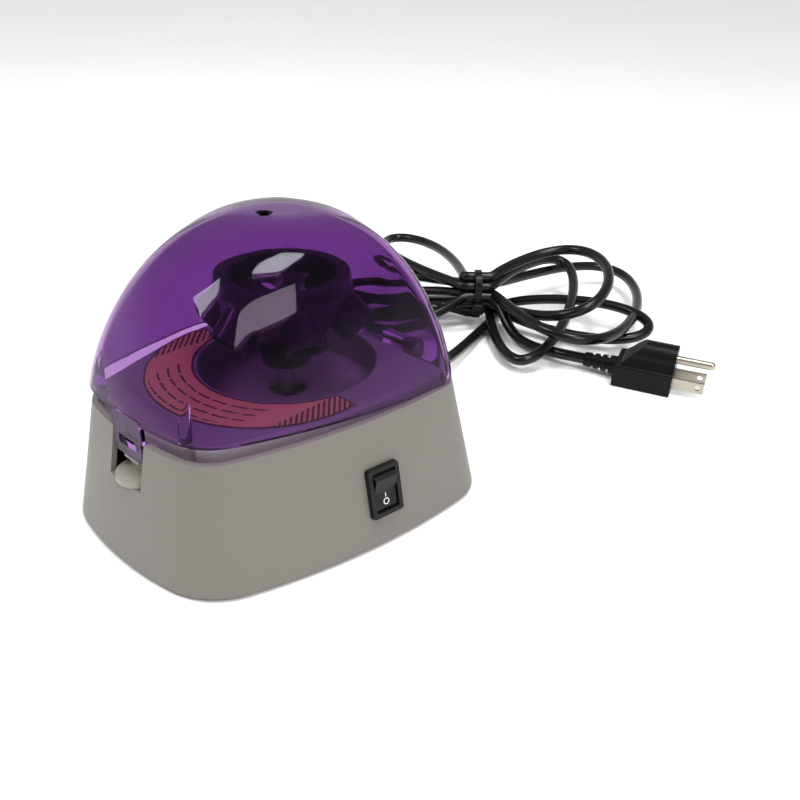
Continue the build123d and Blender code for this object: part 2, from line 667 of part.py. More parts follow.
with BuildPart() as rotor:
    # bowl on its hub
    with BuildSketch(Plane.XZ):
        with BuildLine():
            Polyline(
                (0, ROTOR_BOTTOM_Z),
                (ROTOR_HUB_RADIUS, ROTOR_BOTTOM_Z),
                (ROTOR_HUB_RADIUS + ROTOR_FLARE_INSET, cup_floor_z - ROTOR_WAIST_DROP),
                (ROTOR_RIM_RADIUS - ROTOR_FLARE_INSET, ROTOR_RIM_Z - ROTOR_FLARE_HEIGHT),
                (ROTOR_RIM_RADIUS, ROTOR_RIM_Z - ROTOR_RIM_HEIGHT),
                (ROTOR_RIM_RADIUS - ROTOR_BEVEL, ROTOR_RIM_Z),
                (0, ROTOR_RIM_Z),
                close=True,
            )
        make_face()
    revolve(axis=Axis.Z)
    for angle in tube_angles:
        with BuildSketch(tube_plane(angle, TUBE_START)):
            Circle(sleeve_radius)
        extrude(amount=SLEEVE_LENGTH + TUBE_START)
    # bowl's hollow
    with BuildSketch(Plane.XZ):
        with BuildLine():
            Polyline(
                (0, cup_floor_z),
                (ROTOR_HUB_RADIUS - ROTOR_FLARE_INSET, cup_floor_z),
                (ROTOR_CUP_RADIUS - ROTOR_BEVEL, ROTOR_RIM_Z - CUP_BEND_DEPTH),
                (ROTOR_CUP_RADIUS, ROTOR_RIM_Z),
                (ROTOR_CUP_RADIUS, ROTOR_RIM_Z + CUP_DEPTH),
                (0, ROTOR_RIM_Z + CUP_DEPTH),
                close=True,
            )
        make_face()
    revolve(axis=Axis.Z, mode=Mode.SUBTRACT)
    for angle in tube_angles:
        with BuildSketch(tube_plane(angle, TUBE_CLEAR)):
            Circle(TUBE_HOLE_RADIUS)
        extrude(amount=SLEEVE_LENGTH + TUBE_CLEAR + 2 * PAST, mode=Mode.SUBTRACT)
    with BuildSketch(Plane.XY.offset(ROTOR_BOTTOM_Z - PAST)):
        Circle(SHAFT_RADIUS)
    extrude(amount=SHAFT_TOP_Z - ROTOR_BOTTOM_Z + PAST, mode=Mode.SUBTRACT)
save(rotor.part.moved(Location((0, ROTOR_Y, 0))), "rotor")

with BuildPart() as rotor_knob:
    with BuildSketch(Plane.XY.offset(cup_floor_z)):
        with Locations((0, ROTOR_Y)):
            RegularPolygon(KNOB_RADIUS, KNOB_SIDES)
    extrude(amount=KNOB_HEIGHT)
    fillet(rotor_knob.edges().group_by(Axis.Z)[-1], KNOB_EDGE)
save(rotor_knob.part, "rotor_knob")

# ---------------------------------------------------------------- lid
lid_edge_z = LIP_Z + LID_GAP
hinge_axis = Axis((0, HINGE_Y, HINGE_Z), (1, 0, 0))
lip_wire = outline(LIP_INSET, 0).faces()[0].outer_wire()
lip_spots = [lip_wire @ (index / DOME_POINTS) for index in range(DOME_POINTS)]


def dome_shrink(turn):
    return cos(pi * turn / 2) ** DOME_SHRINK_POWER


def dome_height(turn, rise):
    return rise * sin(pi * turn / 2) ** DOME_RISE_POWER


def dome_section(turn, wall, rise):
    """One level of the dome: the lip's outline, shrunk and blended into a circle.

    turn runs from 0 at the edge to 1 at the top, and wall moves the section in.
    """
    blend = turn**DOME_BLEND_POWER
    points = []
    for spot in lip_spots:
        reach = Vector(spot.X, spot.Y - DOME_TOP_Y, 0)
        full = (1 - blend) * reach.length + blend * DOME_TOP_RADIUS
        around = reach.normalized() * (dome_shrink(turn) * full - wall)
        points.append((around.X, DOME_TOP_Y + around.Y))
    with BuildSketch(Plane.XY.offset(lid_edge_z + dome_height(turn, rise))) as sketch:
        with BuildLine():
            Spline(*points, periodic=True)
        make_face()
    return sketch.sketch


def dome_sections(wall, rise):
    """Levels of the dome, evenly spaced along its profile."""
    steps = 400
    turns = [DOME_LAST_TURN * index / steps for index in range(steps + 1)]
    profile = [Vector(DOME_TOP_RADIUS * dome_shrink(t), dome_height(t, rise)) for t in turns]
    lengths = [0.0]
    for low, high in zip(profile, profile[1:]):
        lengths.append(lengths[-1] + (high - low).length)
    levels = []
    for index in range(DOME_LEVELS + 1):
        wanted = lengths[-1] * index / DOME_LEVELS
        nearest = min(range(steps + 1), key=lambda step: abs(lengths[step] - wanted))
        levels.append(dome_section(turns[nearest], wall, rise))
    return levels


lid_front_y = FRONT_Y + LIP_INSET
lid_back_y = BACK_Y - LIP_INSET
tongue_low_z = lid_edge_z - TONGUE_DROP
slot_low_z = tongue_low_z + TONGUE_BAR
with BuildPart() as dome_shape:
    loft(dome_sections(0, LID_RISE))

with BuildPart() as lid_posts:
    with BuildSketch(Plane.XY.offset(lid_edge_z)):
        with Locations(*lid_post_spots):
            Circle(LID_POST_RADIUS)
    extrude(amount=LID_RISE)
    add(dome_shape.part, mode=Mode.INTERSECT)

with BuildPart() as lid_dome:
    add(dome_shape.part)
    loft(dome_sections(LID_WALL, LID_RISE - LID_WALL), mode=Mode.SUBTRACT)
    add(lid_posts.part)
    # tongue below the front edge, with the latch's slot
    with BuildSketch(Plane.XZ.offset(-lid_front_y)):
        with Locations((0, lid_edge_z + (TONGUE_ROOT - TONGUE_DROP) / 2)):
            RectangleRounded(TONGUE_WIDTH, TONGUE_DROP + TONGUE_ROOT, TONGUE_CORNER)
        with Locations((0, slot_low_z + SLOT_HEIGHT / 2)):
            Rectangle(SLOT_WIDTH, SLOT_HEIGHT, mode=Mode.SUBTRACT)
    extrude(amount=-TONGUE_THICK)
    # vent with a countersunk mouth
    vent_top = lid_edge_z + LID_RISE
    with BuildSketch(Plane.XY.offset(vent_top - 3 * LID_WALL)):
        with Locations((0, VENT_Y)):
            Circle(VENT_RADIUS)
    extrude(amount=6 * LID_WALL, mode=Mode.SUBTRACT)
    with Locations((0, VENT_Y, vent_top - VENT_SINK_DEPTH)):
        Cone(
            VENT_RADIUS,
            VENT_SINK_RADIUS,
            VENT_SINK_DEPTH,
            align=(Align.CENTER, Align.CENTER, Align.MIN),
            mode=Mode.SUBTRACT,
        )
    # knuckles that turn on the hinge pins
    knuckle_root_y = lid_back_y - KNUCKLE_DEPTH * LID_WALL
    for side in (-1, 1):
        with BuildSketch(Plane.YZ.offset(side * HINGE_X - KNUCKLE_WIDTH / 2)):
            with Locations((HINGE_Y, HINGE_Z)):
                Circle(HINGE_EAR_RADIUS)
            with BuildLine():
                Polyline(
                    (HINGE_Y, HINGE_Z - HINGE_EAR_RADIUS),
                    (HINGE_Y, HINGE_Z + HINGE_EAR_RADIUS),
                    (knuckle_root_y, HINGE_Z + HINGE_EAR_RADIUS + KNUCKLE_RISE),
                    (knuckle_root_y, lid_edge_z),
                    (lid_back_y + KNUCKLE_STEP, lid_edge_z),
                    close=True,
                )
            make_face()
            with Locations((HINGE_Y, HINGE_Z)):
                Circle(HINGE_PIN_RADIUS + RUN, mode=Mode.SUBTRACT)
        extrude(amount=KNUCKLE_WIDTH)
save(lid_dome.part.rotate(hinge_axis, -LID_AJAR), "lid_dome")

with BuildPart() as lid_bumpers:
    with BuildSketch(Plane.XY.offset(lid_edge_z)):
        with Locations(*lid_post_spots):
            Circle(BUMPER_RADIUS)
    extrude(amount=-BUMPER_LENGTH)
    fillet(lid_bumpers.edges().group_by(Axis.Z)[0], BUMPER_EDGE)
save(lid_bumpers.part.rotate(hinge_axis, -LID_AJAR), "lid_bumpers")

with BuildPart() as hinge_pins:
    for side in (-1, 1):
        pin_length = KNUCKLE_WIDTH + 2 * (EAR_THICK + GAP)
        with BuildSketch(Plane.YZ.offset(side * HINGE_X - pin_length / 2)):
            with Locations((HINGE_Y, HINGE_Z)):
                Circle(HINGE_PIN_RADIUS)
        extrude(amount=pin_length)
save(hinge_pins.part, "hinge_pins")

# ---------------------------------------------------------------- latch
arm_front = lid_front_y + TONGUE_THICK + LATCH_ARM_GAP
arm_mid = arm_front + LATCH_ARM_THICK / 2
tab_tip = front_y(TAB_TOP_Z) - TAB_PROUD
hook_low_z = slot_low_z + HOOK_CLEAR
arm_top_z = hook_low_z + HOOK_HEIGHT + LATCH_ARM_TOP
hook_width = SLOT_WIDTH - 2 * HOOK_SIDE_CLEAR
with BuildPart() as latch_lever:
    with BuildSketch(Plane.YZ.offset(-LATCH_ARM_WIDTH / 2)):
        with Locations((arm_mid, LATCH_PIVOT_Z)):
            Circle(LATCH_BOSS_RADIUS)
        with Locations((arm_mid, (LATCH_PIVOT_Z + arm_top_z) / 2)):
            Rectangle(LATCH_ARM_THICK, arm_top_z - LATCH_PIVOT_Z)
        with Locations((arm_mid, LATCH_PIVOT_Z)):
            Circle(LATCH_PIN_RADIUS + RUN, mode=Mode.SUBTRACT)
    extrude(amount=LATCH_ARM_WIDTH)
    # hook that goes through the tongue's slot
    hook_reach = LATCH_ARM_GAP + HOOK_REACH
    with BuildSketch(Plane.YZ.offset(-hook_width / 2)):
        with BuildLine():
            Polyline(
                (arm_front + LATCH_BITE, hook_low_z),
                (arm_front - hook_reach, hook_low_z),
                (arm_front - hook_reach, hook_low_z + HOOK_NOSE),
                (arm_front - HOOK_NOSE, hook_low_z + HOOK_HEIGHT),
                (arm_front + LATCH_BITE, hook_low_z + HOOK_HEIGHT),
                close=True,
            )
        make_face()
    extrude(amount=hook_width)
    # thumb tab
    with BuildSketch(Plane.XY.offset(TAB_TOP_Z - TAB_THICK)):
        with Locations((0, tab_tip + TAB_RADIUS)):
            Circle(TAB_RADIUS)
            with Locations((0, TAB_RADIUS)):
                Rectangle(2 * TAB_RADIUS, 2 * TAB_RADIUS, mode=Mode.SUBTRACT)
        tab_back = arm_front + LATCH_BITE
        tab_mid = tab_tip + TAB_RADIUS - LATCH_BITE
        with Locations((0, (tab_mid + tab_back) / 2)):
            Rectangle(2 * TAB_RADIUS, abs(tab_back - tab_mid))
    extrude(amount=TAB_THICK)
save(latch_lever.part, "latch_lever")

ear_inner = LATCH_PIN_LENGTH / 2 - LATCH_EAR_THICK
with BuildPart() as latch_bracket:
    with BuildSketch(Plane.XY.offset(plate_top)):
        with Locations((0, arm_mid)):
            Rectangle(LATCH_PIN_LENGTH, LATCH_BASE_LENGTH)
    extrude(amount=LATCH_BASE_THICK)
    for x in (-LATCH_PIN_LENGTH / 2, ear_inner):
        with BuildSketch(Plane.YZ.offset(x)):
            with Locations((arm_mid, LATCH_PIVOT_Z)):
                Circle(LATCH_BOSS_RADIUS)
            with Locations((arm_mid, (plate_top + LATCH_PIVOT_Z) / 2)):
                Rectangle(2 * LATCH_BOSS_RADIUS, LATCH_PIVOT_Z - plate_top)
            with Locations((arm_mid, LATCH_PIVOT_Z)):
                Circle(LATCH_PIN_RADIUS, mode=Mode.SUBTRACT)
        extrude(amount=LATCH_EAR_THICK)
save(latch_bracket.part, "latch_bracket")

with BuildPart() as latch_pin:
    with BuildSketch(Plane.YZ.offset(-LATCH_PIN_LENGTH / 2)):
        with Locations((arm_mid, LATCH_PIVOT_Z)):
            Circle(LATCH_PIN_RADIUS)
    extrude(amount=LATCH_PIN_LENGTH)
save(latch_pin.part, "latch_pin")

SPRING_WIRE = 0.6
SPRING_TURNS = 3
SPRING_CLEAR = 0.4          # between the pin and the coil
spring_radius = LATCH_PIN_RADIUS + SPRING_CLEAR + SPRING_WIRE / 2
spring_start = LATCH_ARM_WIDTH / 2 + GAP + SPRING_WIRE / 2
spring_room = ear_inner - spring_start - GAP - SPRING_WIRE / 2
with BuildPart() as latch_spring:
    with BuildLine():
        coil = Helix(
            pitch=spring_room / SPRING_TURNS,
            height=spring_room,
            radius=spring_radius,
            center=(spring_start, arm_mid, LATCH_PIVOT_Z),
            direction=(1, 0, 0),
        )
    with BuildSketch(Plane(origin=coil @ 0, z_dir=coil % 0)):
        Circle(SPRING_WIRE / 2)
    sweep()
save(latch_spring.part, "latch_spring")

# ---------------------------------------------------------------- rocker switch
with BuildPart() as switch_bezel:
    with BuildSketch(switch_face.offset(BEZEL_SEAT)):
        RectangleRounded(BEZEL_WIDTH, BEZEL_HEIGHT, BEZEL_CORNER)
    extrude(amount=BEZEL_PROUD, taper=BEZEL_DRAFT)
    with BuildSketch(switch_face.offset(BEZEL_SEAT)):
        Rectangle(SWITCH_BODY_WIDTH, SWITCH_BODY_HEIGHT)
    extrude(amount=-SWITCH_BODY_DEPTH)
    with BuildSketch(switch_face.offset(BEZEL_PROUD + PAST)):
        Rectangle(ROCKER_WIDTH + 2 * ROCKER_CLEAR, 2 * (ROCKER_REACH + ROCKER_CLEAR))
    extrude(amount=SWITCH_FLOOR - SWITCH_BODY_DEPTH - BEZEL_PROUD - PAST, mode=Mode.SUBTRACT)
    pivot_plane = switch_face.offset(-ROCKER_PIVOT)
    pin_plane = Plane(origin=pivot_plane.origin, x_dir=switch_face.y_dir, z_dir=switch_face.x_dir)
    with BuildSketch(pin_plane):
        Circle(ROCKER_PIN_RADIUS)
    extrude(amount=SWITCH_BODY_WIDTH / 2, both=True, mode=Mode.SUBTRACT)
save(switch_bezel.part, "switch_bezel")

with BuildPart() as rocker_pin:
    with BuildSketch(pin_plane):
        Circle(ROCKER_PIN_RADIUS)
    extrude(amount=SWITCH_BODY_WIDTH / 2, both=True)
save(rocker_pin.part, "rocker_pin")

# The rocker is drawn level and then tipped to its off position. In its profile
# x is up the wall and y is out of it, counted from the pivot.
surface_rise = tan(radians(ROCKER_TILT))
valley = ROCKER_VALLEY + ROCKER_PIVOT
end_out = valley + (ROCKER_REACH - ROCKER_END_DROP) * surface_rise
end_up = sqrt(ROCKER_REACH**2 - end_out**2)
with BuildPart() as switch_rocker:
    with BuildSketch(pin_plane):
        with BuildLine():
            Polyline((-end_up, end_out), (0, valley), (end_up, end_out))
            ThreePointArc((end_up, end_out), (ROCKER_REACH, 0), (end_up, -end_out))
            Line((end_up, -end_out), (-end_up, -end_out))
            ThreePointArc((-end_up, -end_out), (-ROCKER_REACH, 0), (-end_up, end_out))
        make_face()
        Circle(ROCKER_PIN_RADIUS + RUN, mode=Mode.SUBTRACT)
    extrude(amount=ROCKER_WIDTH / 2, both=True)
rocker_axis = Axis(pin_plane.origin, pin_plane.z_dir)
save(switch_rocker.part.rotate(rocker_axis, ROCKER_TILT), "switch_rocker")

with BuildPart() as switch_terminals:
    with BuildSketch(switch_face.offset(-SWITCH_BODY_DEPTH + TERMINAL_SEAT)):
        with GridLocations(0, TERMINAL_SPACING, 1, 2):
            Rectangle(TERMINAL_WIDTH, TERMINAL_THICK)
    extrude(amount=-TERMINAL_LENGTH)
save(switch_terminals.part, "switch_terminals")

# ---------------------------------------------------------------- power board
BOARD_SIZE = (30.0, 54.0)
BOARD_SPOT = (-42.0, 0.0)
BOARD_THICK = 1.6
STANDOFF_HEIGHT = 5.0
STANDOFF_INSET = 3.5
STANDOFF_RADIUS = 2.6
CAPACITOR_RADIUS = 6.5
CAPACITOR_HEIGHT = 18.0
CAPACITOR_EDGE = 0.8
CAPACITOR_SPOT = (BOARD_SPOT[0], BOARD_SPOT[1] + 12.0)
RECTIFIER_SIZE = (14.0, 4.5, 11.0)
RECTIFIER_CORNER = 1.5
RECTIFIER_SPOT = (BOARD_SPOT[0] + 4.0, BOARD_SPOT[1] - 2.0)
TERMINALS_SIZE = (20.0, 8.0, 10.0)
TERMINALS_SPOT = (BOARD_SPOT[0], BOARD_SPOT[1] - 17.0)
TERMINALS_COUNT = 4
TERMINALS_PITCH = 5.0
TERMINALS_HOLE_RADIUS = 1.7
TERMINALS_HOLE_DEPTH = 4.0
board_low = plate_top + STANDOFF_HEIGHT
board_top = board_low + BOARD_THICK
board_holes = (BOARD_SIZE[0] - 2 * STANDOFF_INSET, BOARD_SIZE[1] - 2 * STANDOFF_INSET)
with BuildPart() as board_standoffs:
    with BuildSketch(Plane.XY.offset(plate_top)):
        with Locations(BOARD_SPOT):
            with GridLocations(board_holes[0], board_holes[1], 2, 2):
                Circle(STANDOFF_RADIUS)
    extrude(amount=STANDOFF_HEIGHT)
save(board_standoffs.part, "board_standoffs")

with BuildPart() as power_board:
    with BuildSketch(Plane.XY.offset(board_low)):
        with Locations(BOARD_SPOT):
            Rectangle(*BOARD_SIZE)
            with GridLocations(board_holes[0], board_holes[1], 2, 2):
                Circle(SCREW_RADIUS, mode=Mode.SUBTRACT)
    extrude(amount=BOARD_THICK)
save(power_board.part, "power_board")

with BuildPart() as board_screws:
    with BuildSketch(Plane.XY.offset(board_top)):
        with Locations(BOARD_SPOT):
            with GridLocations(board_holes[0], board_holes[1], 2, 2):
                Circle(SCREW_HEAD_RADIUS)
    extrude(amount=SCREW_HEAD_THICK)
    with BuildSketch(Plane.XY.offset(board_low)):
        with Locations(BOARD_SPOT):
            with GridLocations(board_holes[0], board_holes[1], 2, 2):
                Circle(SCREW_RADIUS)
    extrude(amount=BOARD_THICK)
save(board_screws.part, "board_screws")

with BuildPart() as smoothing_capacitor:
    with BuildSketch(Plane.XY.offset(board_top)):
        with Locations(CAPACITOR_SPOT):
            Circle(CAPACITOR_RADIUS)
    extrude(amount=CAPACITOR_HEIGHT)
    fillet(smoothing_capacitor.edges().group_by(Axis.Z)[-1], CAPACITOR_EDGE)
save(smoothing_capacitor.part, "smoothing_capacitor")

with BuildPart() as rectifier:
    with BuildSketch(Plane.XY.offset(board_top)):
        with Locations(RECTIFIER_SPOT):
            Rectangle(RECTIFIER_SIZE[0], RECTIFIER_SIZE[1])
    extrude(amount=RECTIFIER_SIZE[2])
    chamfer(rectifier.edges().filter_by(Axis.Z).sort_by(Axis.X)[-1], RECTIFIER_CORNER)
save(rectifier.part, "rectifier")

with BuildPart() as terminal_block:
    with BuildSketch(Plane.XY.offset(board_top)):
        with Locations(TERMINALS_SPOT):
            Rectangle(TERMINALS_SIZE[0], TERMINALS_SIZE[1])
    extrude(amount=TERMINALS_SIZE[2])
    with BuildSketch(Plane.XY.offset(board_top + TERMINALS_SIZE[2])):
        with Locations(TERMINALS_SPOT):
            with GridLocations(TERMINALS_PITCH, 0, TERMINALS_COUNT, 1):
                Circle(TERMINALS_HOLE_RADIUS)
    extrude(amount=-TERMINALS_HOLE_DEPTH, mode=Mode.SUBTRACT)
save(terminal_block.part, "terminal_block")

# Interlock switch under the deck, beside the right bumper's pocket
INTERLOCK_SIZE = (16.0, 6.0, 6.5)
INTERLOCK_GAP = 1.5         # between its side and the pocket's wall
interlock_y = LID_POST_Y + pocket_radius + DECK_THICK + INTERLOCK_GAP + INTERLOCK_SIZE[1] / 2
with BuildPart() as interlock_switch:
    with BuildSketch(Plane.XY.offset(DECK_Z - DECK_THICK - INTERLOCK_SIZE[2])):
        with Locations((LID_POST_X - INTERLOCK_SIZE[0] / 2, interlock_y)):
            Rectangle(INTERLOCK_SIZE[0], INTERLOCK_SIZE[1])
    extrude(amount=INTERLOCK_SIZE[2])
save(interlock_switch.part, "interlock_switch")

# ---------------------------------------------------------------- cord and plug
relief_plane = Plane(
    origin=(CORD_EXIT_X, back_y(CORD_EXIT_Z), CORD_EXIT_Z), x_dir=(1, 0, 0), z_dir=(0, 1, 0)
)
with BuildPart() as strain_relief:
    for (start, thick), radius in (
        (RELIEF_INNER, RELIEF_RADIUS + RELIEF_INNER_PROUD),
        (RELIEF_NECK, RELIEF_NECK_RADIUS),
        (RELIEF_OUTER, RELIEF_RADIUS + RELIEF_OUTER_PROUD),
    ):
        with BuildSketch(relief_plane.offset(start)):
            Circle(radius)
        extrude(amount=thick)
    with BuildSketch(relief_plane.offset(RELIEF_SLEEVE_START)):
        Circle(RELIEF_RADIUS)
    with BuildSketch(relief_plane.offset(RELIEF_LENGTH)):
        Circle(RELIEF_TIP_RADIUS)
    loft()
save(strain_relief.part, "strain_relief")

for name, route in (("cord_lead", LEAD_ROUTE), ("cord_tail", TAIL_ROUTE)):
    radii = bend_radii(route)
    print(name, "bend radii:", ", ".join(f"{radius:.0f}" for radius in radii))
    with BuildPart() as cord_tube:
        with BuildLine():
            path = FilletPolyline(*route, radius=radii)
        with BuildSketch(Plane(origin=path @ 0, z_dir=path % 0)):
            Circle(CORD_DIAMETER / 2)
        sweep()
    section = pi * CORD_DIAMETER**2 / 4
    print(name, f"length {path.length:.0f} mm, volume / section x length =",
          f"{cord_tube.part.volume / (section * path.length):.4f}")
    save(cord_tube.part, name)

tie_plane = Plane(
    origin=(TIE_SPOT[0], TIE_SPOT[1], 0),
    x_dir=(-sin(radians(TIE_TURN)), cos(radians(TIE_TURN)), 0),
    z_dir=(cos(radians(TIE_TURN)), sin(radians(TIE_TURN)), 0),
)
tie_mid = TIE_LIFT + TIE_THICK + TIE_BUNDLE_HEIGHT / 2
with BuildPart() as cord_hank:
    with BuildSketch():
        with BuildLine():
            Polyline(*HANK_OUTLINE, close=True)
        make_face()
    extrude(amount=HANK_HEIGHT)
    # the loop that stands highest, and the bundle inside the tie
    with BuildSketch():
        with BuildLine():
            Polyline(*HANK_LOOP, close=True)
        make_face()
    extrude(amount=HANK_LOOP_HEIGHT)
    with BuildSketch(tie_plane.offset(-HANK_WAIST_LENGTH / 2)):
        with Locations((0, tie_mid)):
            RectangleRounded(TIE_BUNDLE_WIDTH - PAST, TIE_BUNDLE_HEIGHT - PAST, TIE_CORNER)
    extrude(amount=HANK_WAIST_LENGTH)
save(cord_hank.part, "cord_hank")

with BuildPart() as cable_tie:
    with BuildSketch(tie_plane.offset(-TIE_WIDTH / 2)):
        with Locations((0, tie_mid)):
            RectangleRounded(
                TIE_BUNDLE_WIDTH + 2 * TIE_THICK,
                TIE_BUNDLE_HEIGHT + 2 * TIE_THICK,
                TIE_CORNER + TIE_THICK,
            )
            RectangleRounded(
                TIE_BUNDLE_WIDTH, TIE_BUNDLE_HEIGHT, TIE_CORNER, mode=Mode.SUBTRACT
            )
    extrude(amount=TIE_WIDTH)
    with BuildSketch(tie_plane.offset(-TIE_HEAD / 2)):
        with Locations((-TIE_BUNDLE_WIDTH / 2 - TIE_HEAD / 2, tie_mid - TIE_HEAD_DROP)):
            Rectangle(TIE_HEAD, TIE_HEAD)
    extrude(amount=TIE_HEAD)
save(cable_tie.part, "cable_tie")

plug_face = Plane(
    origin=(PLUG_X, PLUG_Y, 0),
    x_dir=(-sin(radians(PLUG_TURN)), cos(radians(PLUG_TURN)), 0),
    z_dir=(cos(radians(PLUG_TURN)), sin(radians(PLUG_TURN)), 0),
)
arch_z = BLADE_Z + GROUND_RISE - ARCH_DROP
with BuildPart() as plug_body:
    with BuildSketch(plug_face):
        with Locations((0, PLUG_SIDE_HEIGHT / 2)):
            RectangleRounded(PLUG_WIDTH, PLUG_SIDE_HEIGHT, PLUG_CORNER)
        with BuildLine():
            Polyline(
                (-PLUG_WIDTH / 2 + PLUG_CORNER, PLUG_SIDE_HEIGHT - PLUG_SHOULDER),
                (PLUG_WIDTH / 2 - PLUG_CORNER, PLUG_SIDE_HEIGHT - PLUG_SHOULDER),
                (PLUG_ARCH_RADIUS, arch_z),
                (-PLUG_ARCH_RADIUS, arch_z),
                close=True,
            )
        make_face()
        with Locations((0, arch_z)):
            Circle(PLUG_ARCH_RADIUS)
    extrude(amount=-PLUG_LENGTH)
    # the arch sweeps down towards the cord
    side_plane = Plane(origin=plug_face.origin, x_dir=plug_face.z_dir, z_dir=-plug_face.x_dir)
    with BuildSketch(side_plane):
        with BuildLine():
            Polyline(
                (-PLUG_LENGTH / 2, arch_z + PLUG_ARCH_RADIUS + PAST),
                (-PLUG_LENGTH + PLUG_SWEEP_END, PLUG_SIDE_HEIGHT),
                (-PLUG_LENGTH - PAST, PLUG_SIDE_HEIGHT - PAST),
                (-PLUG_LENGTH - PAST, arch_z + PLUG_ARCH_RADIUS + PAST),
                close=True,
            )
        make_face()
    extrude(amount=PLUG_WIDTH, both=True, mode=Mode.SUBTRACT)
save(plug_body.part, "plug_body")

with BuildPart() as plug_boot:
    with BuildSketch(plug_face.offset(-PLUG_LENGTH)):
        with Locations((0, BOOT_Z)):
            Circle(BOOT_RADIUS)
    with BuildSketch(plug_face.offset(-PLUG_LENGTH - BOOT_LENGTH)):
        with Locations((0, BOOT_Z)):
            Circle(RELIEF_TIP_RADIUS)
    loft()
    for index in range(BOOT_GROOVES):
        groove_start = PLUG_LENGTH + BOOT_FIRST_GROOVE + BOOT_GROOVE_PITCH * index
        with BuildSketch(plug_face.offset(-groove_start)):
            with Locations((0, BOOT_Z)):
                Circle(BOOT_RADIUS + PAST)
                Circle(RELIEF_TIP_RADIUS - BOOT_GROOVE_DEPTH, mode=Mode.SUBTRACT)
        extrude(amount=-BOOT_GROOVE_WIDTH, mode=Mode.SUBTRACT)
save(plug_boot.part, "plug_boot")

with BuildPart() as plug_blades:
    for side in (-1, 1):
        blade_plane = Plane(
            origin=plug_face.from_local_coords((side * BLADE_SPACING / 2, BLADE_Z, 0)),
            x_dir=plug_face.z_dir,
            z_dir=plug_face.x_dir,
        )
        with BuildSketch(blade_plane.offset(-BLADE_THICK / 2)):
            with Locations((BLADE_LENGTH / 2, 0)):
                Rectangle(BLADE_LENGTH, BLADE_HEIGHT)
            with Locations((BLADE_LENGTH - BLADE_HOLE_INSET, 0)):
                Circle(BLADE_HOLE_RADIUS, mode=Mode.SUBTRACT)
        extrude(amount=BLADE_THICK)
save(plug_blades.part, "plug_blades")

with BuildPart() as ground_pin:
    with BuildSketch(plug_face):
        with Locations((0, BLADE_Z + GROUND_RISE)):
            Circle(GROUND_RADIUS)
    extrude(amount=GROUND_LENGTH)
    tip = ground_pin.faces().sort_by(Axis(plug_face.origin, plug_face.z_dir))[-1]
    fillet(tip.edges(), GROUND_TIP)
save(ground_pin.part, "ground_pin")
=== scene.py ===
"""Looks of the bench-top microcentrifuge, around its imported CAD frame. Metres."""

import json
from math import cos, pi, radians, sin

import bmesh
import bpy
from mathutils import Matrix, Vector


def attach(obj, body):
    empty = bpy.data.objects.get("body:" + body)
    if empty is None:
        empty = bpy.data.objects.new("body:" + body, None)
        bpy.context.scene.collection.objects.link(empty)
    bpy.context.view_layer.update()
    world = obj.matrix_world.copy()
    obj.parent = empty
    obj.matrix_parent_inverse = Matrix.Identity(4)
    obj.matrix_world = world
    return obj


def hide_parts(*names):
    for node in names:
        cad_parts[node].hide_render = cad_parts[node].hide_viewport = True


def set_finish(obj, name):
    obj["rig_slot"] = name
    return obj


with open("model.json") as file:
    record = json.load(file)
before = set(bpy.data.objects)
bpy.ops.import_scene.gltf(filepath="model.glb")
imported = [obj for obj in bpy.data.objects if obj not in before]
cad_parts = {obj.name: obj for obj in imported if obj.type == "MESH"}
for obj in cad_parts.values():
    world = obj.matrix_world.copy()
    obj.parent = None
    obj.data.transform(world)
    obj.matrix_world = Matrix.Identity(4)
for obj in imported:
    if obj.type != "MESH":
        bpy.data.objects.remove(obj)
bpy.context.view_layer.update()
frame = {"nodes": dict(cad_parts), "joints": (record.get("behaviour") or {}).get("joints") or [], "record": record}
nodes = frame["nodes"]
record = frame["record"]
joints = {joint["name"]: joint for joint in frame["joints"]}
MM = 0.001


def collect(obj):
    bpy.context.scene.collection.objects.link(obj)
    return obj


# ---------------------------------------------------------------- camera
CAMERA_SPOT = (0.26313, -0.20061, 0.23665)
VIEW_RIGHT = Vector((0.73891, 0.67348, 0.02100))
VIEW_UP = Vector((-0.35293, 0.36030, 0.86350))
VIEW_BACK = Vector((0.57398, -0.64545, 0.50392))


def make_camera():
    data = bpy.data.cameras.new("camera")
    data.sensor_width = 36.0
    data.lens = 37.63
    camera = collect(bpy.data.objects.new("camera", data))
    turned = Matrix((VIEW_RIGHT, VIEW_UP, VIEW_BACK)).transposed().to_4x4()
    camera.matrix_world = Matrix.Translation(CAMERA_SPOT) @ turned
    bpy.context.scene.camera = camera


make_camera()

# ---------------------------------------------------------------- cord
CORD_DIAMETER = 6.5 * MM
TIE_TURN = radians(42.0)
TIE_SPOT = Vector((-0.040, 0.214, 0.0))
ALONG = Vector((cos(TIE_TURN), sin(TIE_TURN), 0.0))
ACROSS = Vector((-sin(TIE_TURN), cos(TIE_TURN), 0.0))
LEAD_ROUTE = [
    (0.0020, 0.0744, 0.0180),
    (0.0020, 0.1034, 0.0180),
    (0.0020, 0.1210, 0.0180),
    (-0.0050, 0.1440, 0.0120),
    (-0.0150, 0.1710, 0.0070),
    (-0.0240, 0.1990, 0.0042),
    (-0.0320, 0.2260, 0.0036),
]
TAIL_ROUTE = [
    (-0.0060, 0.2080, 0.0044),
    (0.0150, 0.2025, 0.0046),
    (0.0331, 0.2017, 0.0076),
    (0.0483, 0.2068, 0.0076),
]
# Where each strand lies in the tie: across the bundle, and above the bench
STRANDS = {
    "a": (1.65, 9.6),
    "b": (-1.65, 15.2),
    "c": (4.95, 15.2),
    "d": (-4.95, 20.8),
    "e": (1.65, 20.8),
    "f": (-1.65, 26.4),
    "g": (4.95, 26.4),
    "h": (1.65, 32.0),
}
